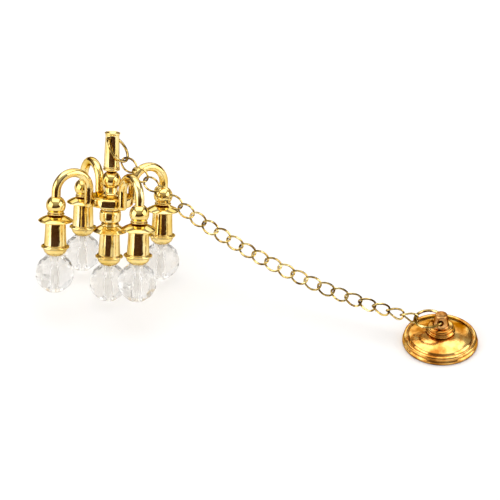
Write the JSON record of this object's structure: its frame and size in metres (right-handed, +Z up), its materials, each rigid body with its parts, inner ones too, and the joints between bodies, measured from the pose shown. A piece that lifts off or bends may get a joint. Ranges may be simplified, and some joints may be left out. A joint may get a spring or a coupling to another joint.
{
  "type": "miniature chandelier",
  "caption": "Dolls' house chandelier with crook arms, drip pans, gilt cups and clear faceted beads, on a fine chain with a ceiling rose.",
  "frame": {"origin": "centre of the ceiling rose's flat back face, which lies on the surface in the stored pose", "axes": "+Z up out of the rose's post and away from the surface, +X along the stored length, away from the chandelier body towards the rose, +Y to the back"},
  "size_m": [0.0862, 0.0433, 0.0332],
  "materials": {
    "bright_gilt": "polished yellow gilt plating",
    "chain_gilt": "bright gilt wire",
    "rose_gilt": "polished orange gilt plating",
    "clear_bead": "clear, faceted"
  },
  "bodies": {
    "ceiling_rose": {"rose_plate": "rose_gilt", "rose_post": "rose_gilt"},
    "rose_ring": {"jump_ring_rose": "chain_gilt"},
    "chain_link_01": {"chain_link_01": "chain_gilt"},
    "chain_link_02": {"chain_link_02": "chain_gilt"},
    "chain_link_03": {"chain_link_03": "chain_gilt"},
    "chain_link_04": {"chain_link_04": "chain_gilt"},
    "chain_link_05": {"chain_link_05": "chain_gilt"},
    "chain_link_06": {"chain_link_06": "chain_gilt"},
    "chain_link_07": {"chain_link_07": "chain_gilt"},
    "chain_link_08": {"chain_link_08": "chain_gilt"},
    "chain_link_09": {"chain_link_09": "chain_gilt"},
    "chain_link_10": {"chain_link_10": "chain_gilt"},
    "chain_link_11": {"chain_link_11": "chain_gilt"},
    "chain_link_12": {"chain_link_12": "chain_gilt"},
    "chain_link_13": {"chain_link_13": "chain_gilt"},
    "chain_link_14": {"chain_link_14": "chain_gilt"},
    "chain_link_15": {"chain_link_15": "chain_gilt"},
    "chain_link_16": {"chain_link_16": "chain_gilt"},
    "chain_link_17": {"chain_link_17": "chain_gilt"},
    "chain_link_18": {"chain_link_18": "chain_gilt"},
    "chain_link_19": {"chain_link_19": "chain_gilt"},
    "chain_link_20": {"chain_link_20": "chain_gilt"},
    "chain_link_21": {"chain_link_21": "chain_gilt"},
    "chain_link_22": {"chain_link_22": "chain_gilt"},
    "chain_link_23": {"chain_link_23": "chain_gilt"},
    "stem_ring": {"jump_ring_stem": "chain_gilt"},
    "chandelier": {"stem_tube": "bright_gilt", "stem_collar": "bright_gilt", "hub_ball": "bright_gilt", "hub_disc": "bright_gilt", "centre_barrel": "bright_gilt", "arm_1": "bright_gilt", "arm_2": "bright_gilt", "arm_3": "bright_gilt", "arm_4": "bright_gilt", "finial_ball_1": "bright_gilt", "finial_ball_2": "bright_gilt", "finial_ball_3": "bright_gilt", "finial_ball_4": "bright_gilt", "drip_pan_1": "bright_gilt", "drip_pan_2": "bright_gilt", "drip_pan_3": "bright_gilt", "drip_pan_4": "bright_gilt", "drip_pan_5": "bright_gilt", "lamp_cup_1": "bright_gilt", "lamp_cup_2": "bright_gilt", "lamp_cup_3": "bright_gilt", "lamp_cup_4": "bright_gilt", "lamp_cup_5": "bright_gilt", "cup_collar_1": "bright_gilt", "cup_collar_2": "bright_gilt", "cup_collar_3": "bright_gilt", "cup_collar_4": "bright_gilt", "cup_collar_5": "bright_gilt", "bead_1": "clear_bead", "bead_2": "clear_bead", "bead_3": "clear_bead", "bead_4": "clear_bead", "bead_5": "clear_bead"}
  },
  "joints": [
    {"name": "rose_ring_swing", "type": "hinge", "parent": "ceiling_rose", "child": "rose_ring", "pos_m": [0, 0, 0.0055], "axis": [0.2079, 0.9781, 0], "range_deg": [-12, 170]},
    {"name": "link_01_hinge", "type": "hinge", "parent": "rose_ring", "child": "chain_link_01", "pos_m": [-0.00443, 0.00082, 0.00512], "axis": [-0.1911, -0.325, -0.9262], "range_deg": [-60, 60]},
    {"name": "link_02_hinge", "type": "hinge", "parent": "chain_link_01", "child": "chain_link_02", "pos_m": [-0.0075, 0.00219, 0.00528], "axis": [0.3395, 0.8153, -0.469], "range_deg": [-60, 60]},
    {"name": "link_03_hinge", "type": "hinge", "parent": "chain_link_02", "child": "chain_link_03", "pos_m": [-0.0097, 0.00317, 0.00546], "axis": [0.3511, 0.6084, 0.7117], "range_deg": [-60, 60]},
    {"name": "link_04_hinge", "type": "hinge", "parent": "chain_link_03", "child": "chain_link_04", "pos_m": [-0.01276, 0.00453, 0.0058], "axis": [-0.1877, -0.6154, 0.7656], "range_deg": [-60, 60]},
    {"name": "link_05_hinge", "type": "hinge", "parent": "chain_link_04", "child": "chain_link_05", "pos_m": [-0.01494, 0.00551, 0.00612], "axis": [-0.4228, -0.7461, -0.5143], "range_deg": [-60, 60]},
    {"name": "link_06_hinge", "type": "hinge", "parent": "chain_link_05", "child": "chain_link_06", "pos_m": [-0.01798, 0.00686, 0.00665], "axis": [0.0433, 0.4502, -0.8919], "range_deg": [-60, 60]},
    {"name": "link_07_hinge", "type": "hinge", "parent": "chain_link_06", "child": "chain_link_07", "pos_m": [-0.02014, 0.00782, 0.0071], "axis": [0.4507, 0.8124, 0.3699], "range_deg": [-60, 60]},
    {"name": "link_08_hinge", "type": "hinge", "parent": "chain_link_07", "child": "chain_link_08", "pos_m": [-0.02315, 0.00916, 0.00783], "axis": [0.0745, -0.3395, 0.9376], "range_deg": [-60, 60]},
    {"name": "link_09_hinge", "type": "hinge", "parent": "chain_link_08", "child": "chain_link_09", "pos_m": [-0.02529, 0.01011, 0.00841], "axis": [-0.4598, -0.8454, -0.2719], "range_deg": [-60, 60]},
    {"name": "link_10_hinge", "type": "hinge", "parent": "chain_link_09", "child": "chain_link_10", "pos_m": [-0.02825, 0.01143, 0.00932], "axis": [-0.1691, 0.2729, -0.9471], "range_deg": [-60, 60]},
    {"name": "link_11_hinge", "type": "hinge", "parent": "chain_link_10", "child": "chain_link_11", "pos_m": [-0.03035, 0.01237, 0.01004], "axis": [0.4618, 0.8624, 0.2073], "range_deg": [-60, 60]},
    {"name": "link_12_hinge", "type": "hinge", "parent": "chain_link_11", "child": "chain_link_12", "pos_m": [-0.03327, 0.01366, 0.01113], "axis": [0.2471, -0.2369, 0.9396], "range_deg": [-60, 60]},
    {"name": "link_13_hinge", "type": "hinge", "parent": "chain_link_12", "child": "chain_link_13", "pos_m": [-0.03533, 0.01458, 0.01197], "axis": [-0.4617, -0.8716, -0.1649], "range_deg": [-60, 60]},
    {"name": "link_14_hinge", "type": "hinge", "parent": "chain_link_13", "child": "chain_link_14", "pos_m": [-0.03818, 0.01585, 0.01325], "axis": [-0.3137, 0.221, -0.9234], "range_deg": [-60, 60]},
    {"name": "link_15_hinge", "type": "hinge", "parent": "chain_link_14", "child": "chain_link_15", "pos_m": [-0.04019, 0.01675, 0.01422], "axis": [0.4616, 0.8765, 0.137], "range_deg": [-60, 60]},
    {"name": "link_16_hinge", "type": "hinge", "parent": "chain_link_15", "child": "chain_link_16", "pos_m": [-0.04297, 0.01799, 0.01567], "axis": [0.3726, -0.218, 0.902], "range_deg": [-60, 60]},
    {"name": "link_17_hinge", "type": "hinge", "parent": "chain_link_16", "child": "chain_link_17", "pos_m": [-0.04493, 0.01886, 0.01676], "axis": [-0.4621, -0.8789, -0.1182], "range_deg": [-60, 60]},
    {"name": "link_18_hinge", "type": "hinge", "parent": "chain_link_17", "child": "chain_link_18", "pos_m": [-0.04763, 0.02006, 0.01838], "axis": [-0.4261, 0.2231, -0.8767], "range_deg": [-45, 60]},
    {"name": "link_19_hinge", "type": "hinge", "parent": "chain_link_18", "child": "chain_link_19", "pos_m": [-0.04954, 0.02091, 0.0196], "axis": [0.4635, 0.8798, 0.1051], "range_deg": [-30, 60]},
    {"name": "link_20_hinge", "type": "hinge", "parent": "chain_link_19", "child": "chain_link_20", "pos_m": [-0.05215, 0.02207, 0.02138], "axis": [0.4756, -0.2331, 0.8483], "range_deg": [-30, 60]},
    {"name": "link_21_hinge", "type": "hinge", "parent": "chain_link_20", "child": "chain_link_21", "pos_m": [-0.05398, 0.02289, 0.02272], "axis": [-0.4656, -0.8799, -0.0955], "range_deg": [-30, 42]},
    {"name": "link_22_hinge", "type": "hinge", "parent": "chain_link_21", "child": "chain_link_22", "pos_m": [-0.0565, 0.02401, 0.02466], "axis": [-0.5218, 0.246, -0.8169], "range_deg": [-18, 60]},
    {"name": "link_23_hinge", "type": "hinge", "parent": "chain_link_22", "child": "chain_link_23", "pos_m": [-0.05826, 0.02479, 0.02611], "axis": [0.4681, 0.8793, 0.088], "range_deg": [-15, 60]},
    {"name": "stem_ring_hinge", "type": "hinge", "parent": "chain_link_23", "child": "stem_ring", "pos_m": [-0.06067, 0.02586, 0.0282], "axis": [0.5652, -0.2604, 0.7828], "range_deg": [-30, 22]},
    {"name": "stem_swing", "type": "hinge", "parent": "stem_ring", "child": "chandelier", "pos_m": [-0.06258, 0.02841, 0.03144], "axis": [0.4385, 0.8288, -0.3476], "range_deg": [-2, 150]}
  ]
}
